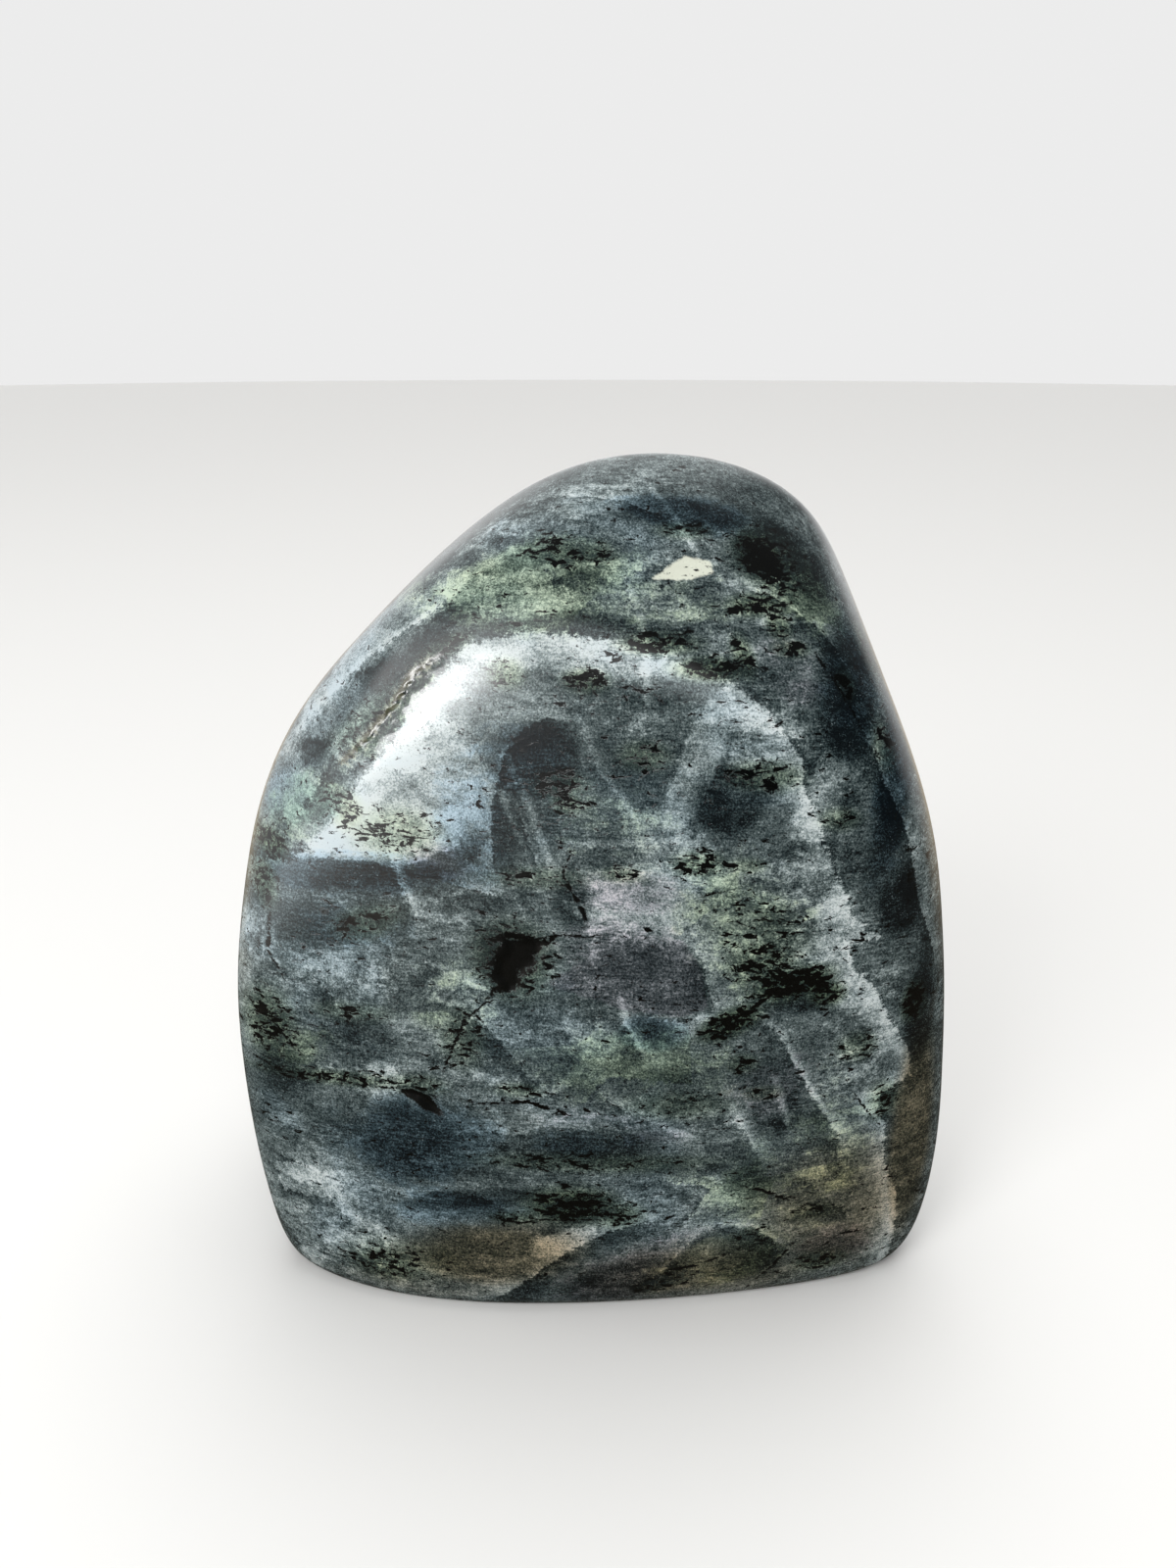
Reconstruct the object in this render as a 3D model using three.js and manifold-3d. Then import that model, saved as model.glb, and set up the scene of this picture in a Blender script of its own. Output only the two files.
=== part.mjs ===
// A polished labradorite freeform: one upright stone, ground by hand and standing on a flat cut.
//
// Millimetres, +Z up. The broad polished front faces -Y and the origin is the middle of the base.
//
// The outside is a set of broad, slightly crowned faces, as a lapidary grinds them. Each ground
// face is given by the way it looks and by how far it lies from the heart of the stone. The faces
// form five groups: front, shoulder, rim, back and underside. They blend softly inside a group,
// and meet along a narrower rounded ridge between two groups; the front and the shoulder meet
// along an arch. Where the rough stone was not all ground away, a crack, some chips and two
// nicks are left in the polish.

import * as THREE from "three";
import { mergeVertices } from "three/addons/utils/BufferGeometryUtils.js";
import Module from "manifold-3d";

// Driving dimensions, in millimetres.
const STONE_WIDTH = 130;
const STONE_DEPTH = 77;
const STONE_HEIGHT = 149;
const HEART_HEIGHT = 64;
const FACET_SIZE = 4.5;

// How firmly faces meet: a higher power gives flatter faces and a sharper ridge between them.
const FACE_FLATNESS = 9;
const RIDGE_SHARPNESS = 22;

// The direction that turn and rise give, in degrees. Turn runs round the stone as seen from
// above: 0 is right, 90 back, 180 left and 270 front. Rise is the angle above level.
function direction(turn, rise) {
  const around = THREE.MathUtils.degToRad(turn);
  const up = THREE.MathUtils.degToRad(rise);
  const level = Math.cos(up);
  return new THREE.Vector3(level * Math.cos(around), level * Math.sin(around), Math.sin(up));
}

function groundFace(turn, rise, reach) {
  return { normal: direction(turn, rise), reach };
}

const FRONT_FACES = {
  broadFront: groundFace(261, 8, 37),
  frontLow: groundFace(273, -6, 45.5),
  frontLeft: groundFace(235, -4, 61),
  frontRight: groundFace(289, -3, 50.5),
};
const SHOULDER_FACES = {
  topShoulder: groundFace(266, 36, 61.5),
  leftShoulder: groundFace(221, 22, 59.5),
  rightShoulder: groundFace(297, 43, 69.5),
  rightStrip: groundFace(311, 2, 59.5),
};
const RIM_FACES = {
  left: groundFace(175, -1, 65),
  leftLow: groundFace(170, -42, 91),
  leftSlope: groundFace(181, 45, 76.5),
  leftSlopeBehind: groundFace(171, 43, 73),
  leftCrown: groundFace(189, 53, 90),
  crown: groundFace(270, 74, 85),
  rightCrown: groundFace(333, 43, 98),
  rightSlope: groundFace(334, 37, 73.5),
  rightUpper: groundFace(1, 17, 76.5),
  right: groundFace(12, 5, 57.5),
  rightLow: groundFace(359, -42, 89),
};
const BACK_FACES = {
  broadBack: groundFace(90, 6, 38),
  backLeft: groundFace(135, 8, 58),
  backRight: groundFace(45, 5, 58.5),
  backShoulder: groundFace(93, 35, 55),
  backLow: groundFace(90, -25, 46),
};
const UNDERSIDE_FACES = {
  underside: groundFace(0, -90, 65),
};
const FACE_GROUPS = [FRONT_FACES, SHOULDER_FACES, RIM_FACES, BACK_FACES, UNDERSIDE_FACES];

// The flaws left in the polish. Roll is how far the length of a flaw is turned from level.
const FLAWS = {
  crackLowEnd: { turn: 210, rise: 40, length: 9, width: 2.8, depth: 0.9, roll: 22 },
  crackMiddle: { turn: 214, rise: 46, length: 10, width: 3.2, depth: 1.1, roll: 42 },
  crackHighEnd: { turn: 218, rise: 53, length: 9, width: 2.6, depth: 0.9, roll: 46 },
  chipOnLeftShoulder: { turn: 227, rise: 68, length: 5, width: 3.0, depth: 0.8, roll: 50 },
  chipUnderCrown: { turn: 305, rise: 71, length: 12, width: 4.4, depth: 0.6, roll: 4 },
  chipOnRightEdge: { turn: 336, rise: -5, length: 7, width: 4.0, depth: 1.3, roll: 72 },
  nickOnLeftEdge: { turn: 199, rise: 6, length: 6, width: 2.8, depth: 0.9, roll: 84 },
  lowNickOnLeftEdge: { turn: 203, rise: -6, length: 5, width: 2.4, depth: 0.8, roll: 70 },
};

// How strongly one group of faces holds back a step out from the heart; 1 is on the surface.
function groupPressure(group, step) {
  let sum = 0;
  for (const { normal, reach } of Object.values(group)) {
    sum += Math.max(0, normal.dot(step) / reach) ** FACE_FLATNESS;
  }
  return sum ** (1 / FACE_FLATNESS);
}

// How far the surface lies from the heart, in the direction given.
function surfaceReach(outward) {
  let sum = 0;
  for (const group of FACE_GROUPS) {
    sum += groupPressure(group, outward) ** RIDGE_SHARPNESS;
  }
  return 1 / sum ** (1 / RIDGE_SHARPNESS);
}

// A finely divided box whose corners are pulled in or out, along lines from the heart, until
// every one of them lies on the ground surface.
function groundBlank() {
  const box = new THREE.BoxGeometry(
    STONE_WIDTH,
    STONE_DEPTH,
    STONE_HEIGHT,
    Math.round(STONE_WIDTH / FACET_SIZE),
    Math.round(STONE_DEPTH / FACET_SIZE),
    Math.round(STONE_HEIGHT / FACET_SIZE),
  );
  box.translate(0, 0, STONE_HEIGHT / 2 - HEART_HEIGHT);
  const corners = box.attributes.position;
  const corner = new THREE.Vector3();
  for (let i = 0; i < corners.count; i += 1) {
    corner.fromBufferAttribute(corners, i).normalize();
    corner.multiplyScalar(surfaceReach(corner));
    corners.setXYZ(i, corner.x, corner.y, corner.z);
  }
  box.translate(0, 0, HEART_HEIGHT);
  return box;
}

// The block under the table line, which takes off the rounded underside and leaves a flat cut.
function baseCut() {
  const thickness = 20;
  const block = new THREE.BoxGeometry(2 * STONE_WIDTH, 2 * STONE_DEPTH, thickness);
  return block.translate(0, 0, -thickness / 2);
}

// A squashed, many-faced ball that bites a flaw out of the surface. Only its lowest third is
// inside the stone, so the bite is shallow and has a crisp edge.
function flawBite({ turn, rise, length, width, depth, roll }) {
  const height = 3 * depth;
  const lift = height - depth;
  const spread = 1 / Math.sqrt(1 - (lift / height) ** 2);
  const ball = new THREE.IcosahedronGeometry(1, 1);
  ball.scale((spread * length) / 2, (spread * width) / 2, height);
  ball.rotateZ(THREE.MathUtils.degToRad(roll));
  const outward = direction(turn, rise);
  const side = new THREE.Vector3(0, 0, 1).cross(outward).normalize();
  const along = new THREE.Vector3().crossVectors(outward, side);
  ball.applyMatrix4(new THREE.Matrix4().makeBasis(side, along, outward));
  const place = outward.clone().multiplyScalar(surfaceReach(outward) + lift);
  return ball.translate(place.x, place.y, place.z + HEART_HEIGHT);
}

const wasm = await Module();
wasm.setup();

function toSolid(geometry) {
  const bare = geometry.clone();
  bare.deleteAttribute("normal");
  bare.deleteAttribute("uv");
  const merged = mergeVertices(bare, 1e-4);
  return new wasm.Manifold(new wasm.Mesh({
    numProp: 3,
    vertProperties: new Float32Array(merged.attributes.position.array),
    triVerts: new Uint32Array(merged.index.array),
  }));
}

function toGeometry(solid) {
  const mesh = solid.getMesh();
  const geometry = new THREE.BufferGeometry();
  geometry.setAttribute("position", new THREE.BufferAttribute(mesh.vertProperties, 3));
  geometry.setIndex(new THREE.BufferAttribute(mesh.triVerts, 1));
  geometry.computeVertexNormals();
  return geometry;
}

function makeStone() {
  let solid = toSolid(groundBlank()).subtract(toSolid(baseCut()));
  for (const flaw of Object.values(FLAWS)) {
    solid = solid.subtract(toSolid(flawBite(flaw)));
  }
  const geometry = toGeometry(solid);
  geometry.computeBoundingBox();
  const middle = geometry.boundingBox.getCenter(new THREE.Vector3());
  geometry.translate(-middle.x, -middle.y, 0);
  const polished = new THREE.MeshStandardMaterial({
    color: 0x5d6764,
    roughness: 0.18,
    metalness: 0,
    flatShading: true,
  });
  const stone = new THREE.Mesh(geometry, polished);
  stone.name = "stone";
  return stone;
}

const freeform = new THREE.Group();
freeform.add(makeStone());

export default freeform;
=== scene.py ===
# A polished labradorite freeform, dressed for a photograph.
#
# The stone is ground again on a fine mesh from the same ground faces as the CAD part, with its
# crack, chips and nicks, and finished with a layered material: slate, teal and bluish feldspar,
# pale cleavage plates with jagged edges, olive and plum tints, pale veins and black inclusions.
# Some of the colour is painted light: a warm brown near the base is a painted reflection of a
# wooden floor, the blue clouds are partly painted labradorescent sheen, and the haze on the upper
# left, the arch band and some pale clouds are partly painted highlight and reflection.
#
# Lengths on the stone are in millimetres, and those of the stage in metres. A mark is placed by
# its chart, as (along, up): along runs from left to right and up from the base, read on the
# broad front face, and both lean a little with depth, so that a mark runs through the stone on
# a slant.

import math

import bmesh
import bpy
import numpy as np
from bpy.props import FloatProperty, FloatVectorProperty, PointerProperty
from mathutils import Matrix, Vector, noise


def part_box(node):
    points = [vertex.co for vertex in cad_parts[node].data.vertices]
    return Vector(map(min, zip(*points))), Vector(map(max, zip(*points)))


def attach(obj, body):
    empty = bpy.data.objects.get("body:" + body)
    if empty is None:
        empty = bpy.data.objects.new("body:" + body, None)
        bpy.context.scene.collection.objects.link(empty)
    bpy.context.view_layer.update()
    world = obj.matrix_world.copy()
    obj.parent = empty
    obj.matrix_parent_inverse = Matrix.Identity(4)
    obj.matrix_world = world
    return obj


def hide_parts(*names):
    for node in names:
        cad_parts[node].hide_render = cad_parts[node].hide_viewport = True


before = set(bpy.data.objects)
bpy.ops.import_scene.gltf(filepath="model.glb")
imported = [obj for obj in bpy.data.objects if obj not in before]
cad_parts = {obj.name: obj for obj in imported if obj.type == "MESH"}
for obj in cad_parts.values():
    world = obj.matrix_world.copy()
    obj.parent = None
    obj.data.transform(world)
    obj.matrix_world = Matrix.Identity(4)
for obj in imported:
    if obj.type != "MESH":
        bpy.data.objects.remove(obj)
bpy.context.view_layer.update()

bl_info = {
    "name": "Labradorite freeform",
    "version": (1, 0, 0),
    "blender": (4, 5, 0),
    "location": "View3D > Sidebar > Stone",
    "description": "Grinds and finishes a polished labradorite freeform, and sets its stage",
    "category": "Add Mesh",
}

MM = 0.001

# The stone as it is ground
HEART_HEIGHT = 64
FACE_FLATNESS = 9
RIDGE_SHARPNESS = 22

# Each ground face: turn round the stone, rise above level, and reach from the heart
FRONT_FACES = ((261, 8, 37), (273, -6, 45.5), (235, -4, 61), (289, -3, 50.5))
SHOULDER_FACES = ((266, 36, 61.5), (221, 22, 59.5), (297, 43, 69.5), (311, 2, 59.5))
RIM_FACES = (
    (175, -1, 65), (170, -42, 91), (181, 45, 76.5), (171, 43, 73), (189, 53, 90), (270, 74, 85),
    (333, 43, 98), (334, 37, 73.5), (1, 17, 76.5), (12, 5, 57.5), (359, -42, 89),
)
BACK_FACES = ((90, 6, 38), (135, 8, 58), (45, 5, 58.5), (93, 35, 55), (90, -25, 46))
UNDERSIDE_FACES = ((0, -90, 65),)
FACE_GROUPS = (FRONT_FACES, SHOULDER_FACES, RIM_FACES, BACK_FACES, UNDERSIDE_FACES)

# The flaws left in the polish: turn, rise, length, width, depth and roll
FLAWS = (
    (210, 40, 9, 2.8, 0.9, 22), (214, 46, 10, 3.2, 1.1, 42), (218, 53, 9, 2.6, 0.9, 46),
    (227, 68, 5, 3.0, 0.8, 50), (305, 71, 12, 4.4, 0.6, 4), (336, -5, 7, 4.0, 1.3, 72),
    (199, 6, 6, 2.8, 0.9, 84), (203, -6, 5, 2.4, 0.8, 70),
)

# The mesh is twice as fine in front of this depth
FINE_FROM = -6

# Low relief: how deep each thing is sunk, and the share of a flaw's depth that the polish leaves
CRACK_DEPTH = 0.35
LEAF_DEPTH = 0.25
PATCH_DEPTH = 0.1
FLAW_SHARE = 0.22
FLAW_REACH = 8

# The length of the waves of hand polishing and of the crumbs in a broken edge
WAVE_LENGTH = 21
CRUMB_LENGTH = 1.3

# The relief fades out between these heights, so that the base stays flat
BASE_FADE = (0.4, 4)

# The chart leans with depth behind the front face, and fades out between these depths
CHART_DEPTH = 36
CHART_LEAN = (0.35, 0.2)
CHART_FADE = (1, 9)

# How the front's marks are laid out on the back
BACK_WIDTH = 0.9
BACK_SHIFT = 4
BACK_TOP = 136

# Where a cloud fades out, in shares of its size, and a plate edge, near its ends and sideways
CLOUD_FADE = (0.35, 1.45)
EDGE_TAPER = (0.5, 6)
EDGE_FADE = (3, 8)

# How far outlines and lines are held off where the chart fades, and a distance past all others
OFF_FACE = 12
FAR_AWAY = 1e3

# The colours that the stone runs through from dark to light
TONES = ((0.0, "night"), (0.22, "teal"), (0.48, "slate"), (0.72, "pale"), (1.0, "bright"))

# How light the plain stone is on that scale, and what each marking adds or takes
BODY_LIGHT = 0.412
DOMAIN_SWING = 0.10
SEAM_GAIN = 0.12
# The pale clouds' gain is partly painted reflection and painted light
PALE_CLOUD_AND_SHEEN_GAIN = 0.20
TEAL_CLOUD_LOSS = 0.20
TEAL_CORE_LOSS = 0.06
# The arch band is a painted highlight on the ridge round the front face, with the pale plate edge
ARCH_HIGHLIGHT_GAIN = 0.23
# Partly the shoulders' own darker tone, partly painted shade where they turn from the light
BEYOND_ARCH_LOSS = 0.09
# The haze is partly a pale plate and partly a painted reflection of the window's gleam
HAZE_AND_GLEAM_GAIN = 0.16
EDGE_GAIN = 0.16
EDGE_LOSS = 0.15
PLUM_PLATE_LOSS = 0.05
WHITE_PATCH_GAIN = 0.22
VEIN_GAIN = 0.17
CONTRAST = 1.15
CONTRAST_MIDDLE = 0.42

# Where a noise is strong enough to leave a sparkle, a black dash, a black grain or a pit
SPARKLE_LEVEL = (0.22, 0.26)
DASH_LEVEL = (0.630, 0.640)
PEPPER_LEVEL = (0.69, 0.70)
PIT_LEVEL = (0.215, 0.235)

# How rough the polish is
POLISH = 0.16

# Clouds of colour, each a soft patch: along, up, wide, high, tilt, strength
# Some pale clouds, on the left slope and on the shoulders near the top, are painted reflection and painted
# light standing in for gloss and light there; the rest are clouded feldspar
PALE_CLOUDS_AND_SHEEN = (
    (2, 123, 50, 7, -3, 1.0), (-28, 104, 26, 22, -35, 0.6), (-34, 92, 26, 9, 0, 0.6),
    (17, 106, 6, 26, -23, 1.5), (27, 110, 12, 16, -40, 0.6), (35, 97, 8, 26, -14, 0.7),
    (12, 92, 14, 16, 0, 0.6), (10, 82, 20, 16, 0, 0.9), (-20, 82, 10, 9, 0, 0.6),
    (28, 86, 18, 10, 0, 0.8), (31, 76, 10, 8, 0, 0.7), (20, 77, 20, 14, 0, 0.9),
    (38, 80, 10, 16, -20, 0.7), (45, 66, 12, 10, 0, 0.6), (46, 44, 12, 34, -8, 0.55),
    (-48, 100, 11, 20, -20, 0.9), (-38, 114, 9, 22, -42, 0.7), (-28, 126, 8, 20, -48, 0.9),
    (-10, 141, 22, 7, 38, 0.6), (-46, 92, 12, 6, 0, 0.5), (6, 149, 26, 6, 0, 0.7),
    (14, 136, 22, 6, 0, 0.5), (31, 131, 14, 7, -20, 1.4), (-3, 136, 8, 3, 10, 1.2),
    (-14, 134, 10, 6, 0, 0.6), (12, 131, 20, 7, 0, 0.8), (4, 146, 18, 5, 0, 0.7),
    (35, 90, 12, 9, 0, 0.4), (-53, 14, 8, 20, 15, 0.9), (-31, 113, 9, 30, -42, 0.55),
    (-38, 47, 14, 7, 0, 0.6), (24, 124, 12, 6, 0, 0.5), (-26, 81, 18, 7, 0, 0.5),
    (-22, 64, 16, 12, 0, 0.5), (-2, 58, 26, 8, 0, 0.4), (-49, 25, 12, 8, 0, 0.6),
    (-44, 14, 14, 16, 20, 0.6), (-6, 16, 16, 6, 22, 0.9), (15, 25, 20, 9, 0, 0.55),
    (-44, 48, 10, 6, 0, 0.5), (33, 45, 12, 10, 0, 0.3), (38, 30, 14, 12, 0, 0.35),
    (20, 42, 14, 8, 0, 0.3), (-12, 48, 16, 6, 0, 0.3), (-55, 70, 8, 16, 0, 0.4),
    (1, 134, 8, 5, 0, 0.5), (8, 113, 14, 5, 0, 0.3), (-41, 66, 20, 12, 0, 0.4),
    (-6, 132, 20, 8, 0, 0.4), (4, 44, 10, 6, 0, 0.3),
)
TEAL_CLOUDS = (
    (-8, 106, 15, 13, 0, 1.6), (6, 104, 18, 9, -5, 0.6), (21, 100, 12, 13, 0, 1.1),
    (-9, 95, 14, 14, 0, 0.6), (-36, 85, 34, 6, 2, 0.8), (-44, 76, 18, 10, 0, 0.5),
    (44, 117, 13, 22, -24, 1.2), (50, 100, 9, 30, -18, 0.9), (35, 139, 12, 10, 0, 1.0),
    (43, 141, 16, 24, -35, 1.3), (24, 146, 24, 6, -6, 1.0), (37, 149, 18, 8, -24, 0.8),
    (8, 128, 20, 4, -6, 0.5), (-28, 119, 6, 24, -46, 0.5), (52, 82, 12, 14, 0, 0.9),
    (59, 60, 8, 24, 0, 0.9), (6, 71, 20, 7, 6, 0.35), (33, 66, 15, 9, 0, 0.8),
    (21, 60, 10, 6, 20, 0.7), (8, 59, 9, 6, 0, 0.7), (-14, 71, 12, 14, 0, 0.6),
    (-40, 55, 14, 9, 0, 0.7), (-54, 46, 12, 14, 0, 0.7), (-31, 35, 20, 17, 6, 0.85),
    (-2, 36, 26, 9, 4, 0.7), (-3, 23, 20, 8, 0, 0.7), (-26, 14, 16, 10, 0, 0.4),
    (5, 7, 26, 10, 14, 0.9), (29, 11, 14, 11, 0, 0.8), (28, 29, 12, 9, 0, 0.6),
    (31, 43, 10, 12, 0, 0.9), (42, 115, 9, 14, -20, 1.6), (-3, 82, 6, 10, 0, 0.6),
    (-59, 40, 8, 20, 0, 0.7), (-44, 37, 14, 10, 0, 0.5), (-20, 25, 26, 5, 8, 0.7),
    (44, 10, 18, 8, 0, 0.5), (26, 52, 12, 9, 0, 0.4), (34, 55, 10, 8, 0, 0.35),
    (12, 49, 12, 7, 0, 0.4), (-16, 56, 12, 6, 0, 0.4), (28, 94, 8, 8, 0, 0.4),
    (2, 118, 12, 5, 0, 0.5), (15, 118, 10, 4, 0, 0.5), (-15, 100, 5, 18, 0, 0.4),
    (-58, 86, 6, 10, 0, 0.6), (40, 42, 9, 9, 0, 0.4), (10, 33, 14, 6, 0, 0.4),
    (-10, 126, 12, 5, 10, 0.5),
)
OLIVE_CLOUDS = (
    (24, 79, 20, 24, 0, 0.75), (6, 52, 38, 16, 0, 0.5), (-2, 136, 30, 12, 5, 0.8),
    (41, 132, 16, 18, 0, 0.6), (-52, 52, 16, 12, 0, 0.6), (22, 11, 26, 12, 10, 0.7),
    (-43, 98, 8, 22, -40, 0.5), (-14, 70, 12, 8, 0, 0.4), (30, 28, 34, 20, 0, 0.5),
    (4, 132, 60, 12, 0, 0.5), (-28, 114, 6, 24, -42, 0.7), (-22, 64, 18, 14, 0, 0.4),
    (5, 97, 22, 22, 0, 0.35), (42, 34, 20, 34, 0, 0.5),
)
PLUM_CLOUDS = (
    (5, 73, 20, 12, 0, 0.7), (6, 84, 16, 8, 0, 0.5), (9, 9, 38, 14, 15, 0.7),
    (-24, 88, 10, 7, 0, 0.45), (46, 12, 16, 9, 0, 0.6), (30, 48, 18, 14, 0, 0.45),
    (34, 122, 12, 14, 0, 0.5), (2, 40, 30, 10, 0, 0.3),
)
# The blue clouds are partly the feldspar's bluish tone and partly painted labradorescent sheen, the blue
# flash fixed in the colour
BLUE_SHEEN_CLOUDS = (
    (-28, 36, 26, 18, 5, 1.0), (24, 146, 26, 7, -6, 1.0), (9, 59, 12, 7, 0, 0.8),
    (50, 100, 10, 30, -18, 0.7), (-9, 106, 16, 14, 0, 0.7), (-36, 85, 34, 8, 0, 0.8),
    (-40, 76, 24, 10, 0, 0.5), (-18, 95, 12, 22, 0, 0.6), (-3, 37, 22, 8, 0, 0.6),
    (-46, 98, 14, 12, 0, 0.6), (46, 118, 14, 22, -24, 0.6), (-24, 22, 26, 8, 0, 0.7),
)
# The brown clouds near the base are a painted reflection: the warm glow of a wooden floor, fixed in the
# colour
BROWN_REFLECTION_CLOUDS = (
    (44, 20, 34, 36, 0, 0.7), (20, 8, 60, 16, 0, 0.6), (60, 34, 12, 48, 0, 1.0),
    (-18, 13, 34, 16, 6, 0.9), (-30, 5, 40, 8, 0, 0.4),
)

# Plates: outlines of crystal faces that end at a sharp edge
# The front plate's edge also carries the painted arch highlight, and the painted shade beyond it
FRONT_PLATE = (
    (-60, -5), (-60, 84), (-47, 87), (-41, 93), (-32, 105), (-24, 117), (-16, 125), (-5, 127),
    (6, 125), (17, 121), (23, 119), (28, 115), (30, 111), (33, 107), (33, 102), (35, 98), (36, 94),
    (38, 89), (40, 85), (42, 79), (47, 76), (41, 75), (43, 70), (47, 67), (51, 60), (57, 52),
    (58, 47), (50, 44), (53, 38), (54, 29), (58, 21), (59, 12), (57, -5),
)
# The haze plate is partly a pale plate and partly a painted reflection of the window's gleam on the upper
# left
HAZE_PLATE_AND_GLEAM = (
    (-45, 89), (-38, 88), (-30, 88), (-22, 91), (-15, 94), (-12, 108), (-8, 112), (-5, 118),
    (-7, 126), (-16, 125), (-24, 117), (-32, 106), (-38, 104), (-43, 98), (-47, 92),
)
PLUM_PLATE = ((-8, 67), (-1, 72), (5, 75), (14, 76), (17, 71), (18, 64), (14, 62), (4, 63), (-1, 65))
WHITE_PATCH = ((-56, 27), (-52, 28), (-48, 27), (-44, 25), (-45, 22), (-50, 21), (-55, 21))
CREAM_CHIP = ((14, 135), (17, 137), (21, 139), (25, 138), (25, 136), (20, 135))
LEAF = ((-34, 46), (-31, 46), (-28, 45), (-27, 43), (-26, 41), (-29, 42), (-31, 44))
INK_PATCH = (
    (-17, 68), (-17, 71), (-15, 73), (-15, 76), (-12, 75), (-10, 77), (-9, 75), (-5, 76), (-9, 73),
    (-10, 70), (-12, 69), (-13, 66), (-16, 65), (-16, 67),
)

# Sharp edges inside the stone: pale on the left of each as it runs, dark on the right. Strength
# comes first, then the points
PLATE_EDGES = (
    (0.9, (-45, 105), (-40, 112), (-34, 119), (-27, 125), (-18, 132), (-12, 137)),
    (1.0, (-16, 84), (-15, 88), (-15, 95), (-14, 101), (-12, 107), (-9, 111), (-5, 113), (1, 112)),
    (0.6, (-48, 86), (-43, 88), (-36, 88), (-30, 87), (-23, 90), (-16, 93)),
    (0.8, (-47, 92), (-43, 98), (-40, 102), (-37, 104)),
    (1.0, (-20, 1), (-14, 6), (-10, 10), (-5, 14), (1, 18), (7, 20), (13, 21)),
    (0.6, (3, 3), (12, 9), (15, 13), (19, 18), (23, 19), (29, 18), (33, 14), (36, 8)),
    (0.8, (28, 134), (33, 133), (37, 131), (41, 128), (44, 124), (46, 119)),
    (0.7, (-33, 105), (-30, 104), (-27, 103), (-24, 105), (-22, 108)),
    (0.7, (13, 77), (17, 73), (18, 68), (19, 63), (14, 61), (8, 62)),
    (0.7, (2, 64), (5, 60), (7, 55), (8, 50)),
    (0.6, (-58, 30), (-52, 28), (-48, 27), (-44, 25), (-45, 22), (-50, 21)),
    (0.7, (28, 63), (32, 55), (38, 45), (43, 37), (46, 30)),
    (0.5, (22, 46), (26, 38), (29, 32), (27, 26)),
    (0.5, (-32, 91), (-30, 84), (-28, 78), (-30, 72)),
    (0.6, (-30, 64), (-22, 62), (-16, 57), (-12, 50)), (0.5, (-50, 70), (-44, 64), (-40, 58)),
    (0.6, (-12, 100), (-10, 95), (-8, 88), (-6, 84)), (0.5, (-3, 52), (2, 45), (8, 42), (15, 43)),
    (0.5, (-36, 22), (-28, 26), (-20, 25), (-14, 21)),
    (0.5, (38, 30), (41, 24), (46, 20), (50, 14)), (0.5, (-22, 40), (-14, 38), (-8, 41), (0, 38)),
    (1.0, (45, 112), (48, 102), (52, 95), (54, 89), (56, 81), (61, 72), (63, 67)),
    (0.6, (-5, 147), (4, 149), (14, 148), (24, 143)), (0.5, (-26, 128), (-18, 132), (-12, 137)),
)

# Pale veins and dark cracks, each a line through the points given
PALE_VEINS = (
    ((19, 156), (19, 151), (21, 146), (23, 140)), ((0, 112), (3, 104), (7, 97)),
    ((-13, 100), (-11, 95), (-9, 86)), ((-12, 107), (-10, 102), (-6, 88)), ((-31, 90), (-28, 79)),
    ((4, 65), (5, 60), (7, 56)), ((28, 62), (32, 56), (37, 47), (43, 38)), ((23, 44), (27, 36)),
    ((18, 32), (21, 29)), ((-53, 70), (-48, 64)), ((10, 121), (10, 116)), ((10, 62), (18, 62)),
    ((0, 77), (0, 72)), ((41, 59), (44, 54)), ((0, 92), (13, 93)),
    ((-45, 105), (-40, 112), (-34, 119), (-27, 125), (-18, 132)),
    ((12, 9), (15, 13), (19, 18), (23, 19), (29, 18), (34, 14)),
    ((41, 75), (43, 70), (48, 69), (53, 69)), ((-42, 101), (-36, 110), (-31, 116)),
    ((30, 50), (33, 41)), ((-20, 50), (-12, 46), (-6, 48)), ((10, 134), (11, 126), (10, 120)),
    ((-26, 70), (-18, 66)), ((12, 40), (18, 37), (24, 38)),
)
INK_CRACKS = (
    ((-3, 90), (-4, 88), (-4, 86), (-2, 82), (-1, 79)), ((-9, 75), (-5, 76), (0, 76)),
    ((-16, 66), (-18, 63), (-21, 60), (-23, 56), (-25, 51)), ((26, 130), (31, 131), (37, 133)),
    ((9, 124), (12, 124), (15, 126)), ((17, 121), (19, 120), (22, 120), (24, 121)),
    ((-40, 74), (-39, 77), (-36, 78), (-32, 79)), ((17, 58), (20, 59), (24, 62), (28, 66)),
    ((-57, 49), (-53, 47), (-45, 47), (-40, 46), (-34, 46)), ((-18, 21), (-14, 20), (-9, 21)),
    ((14, 9), (19, 10), (26, 13)), ((29, 3), (34, 9), (37, 13)), ((18, 84), (22, 85)),
    ((44, 12), (47, 14), (50, 14)), ((46, 45), (49, 41), (52, 38)), ((27, 27), (30, 26), (34, 24)),
    ((-52, 77), (-53, 70), (-51, 66)), ((-57, 60), (-53, 56), (-50, 52)),
    ((40, 122), (42, 118), (44, 113)), ((-6, 139), (-2, 141), (3, 142)), ((7, 118), (11, 117)),
    ((-20, 44), (-12, 45), (-6, 43)), ((-14, 32), (-11, 32), (-9, 31)), ((-22, 122), (-18, 125)),
)
RUSTY_CRACK = ((-37, 105), (-34, 108), (-31, 112), (-29, 114), (-27, 117), (-25, 120), (-22, 122))

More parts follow.
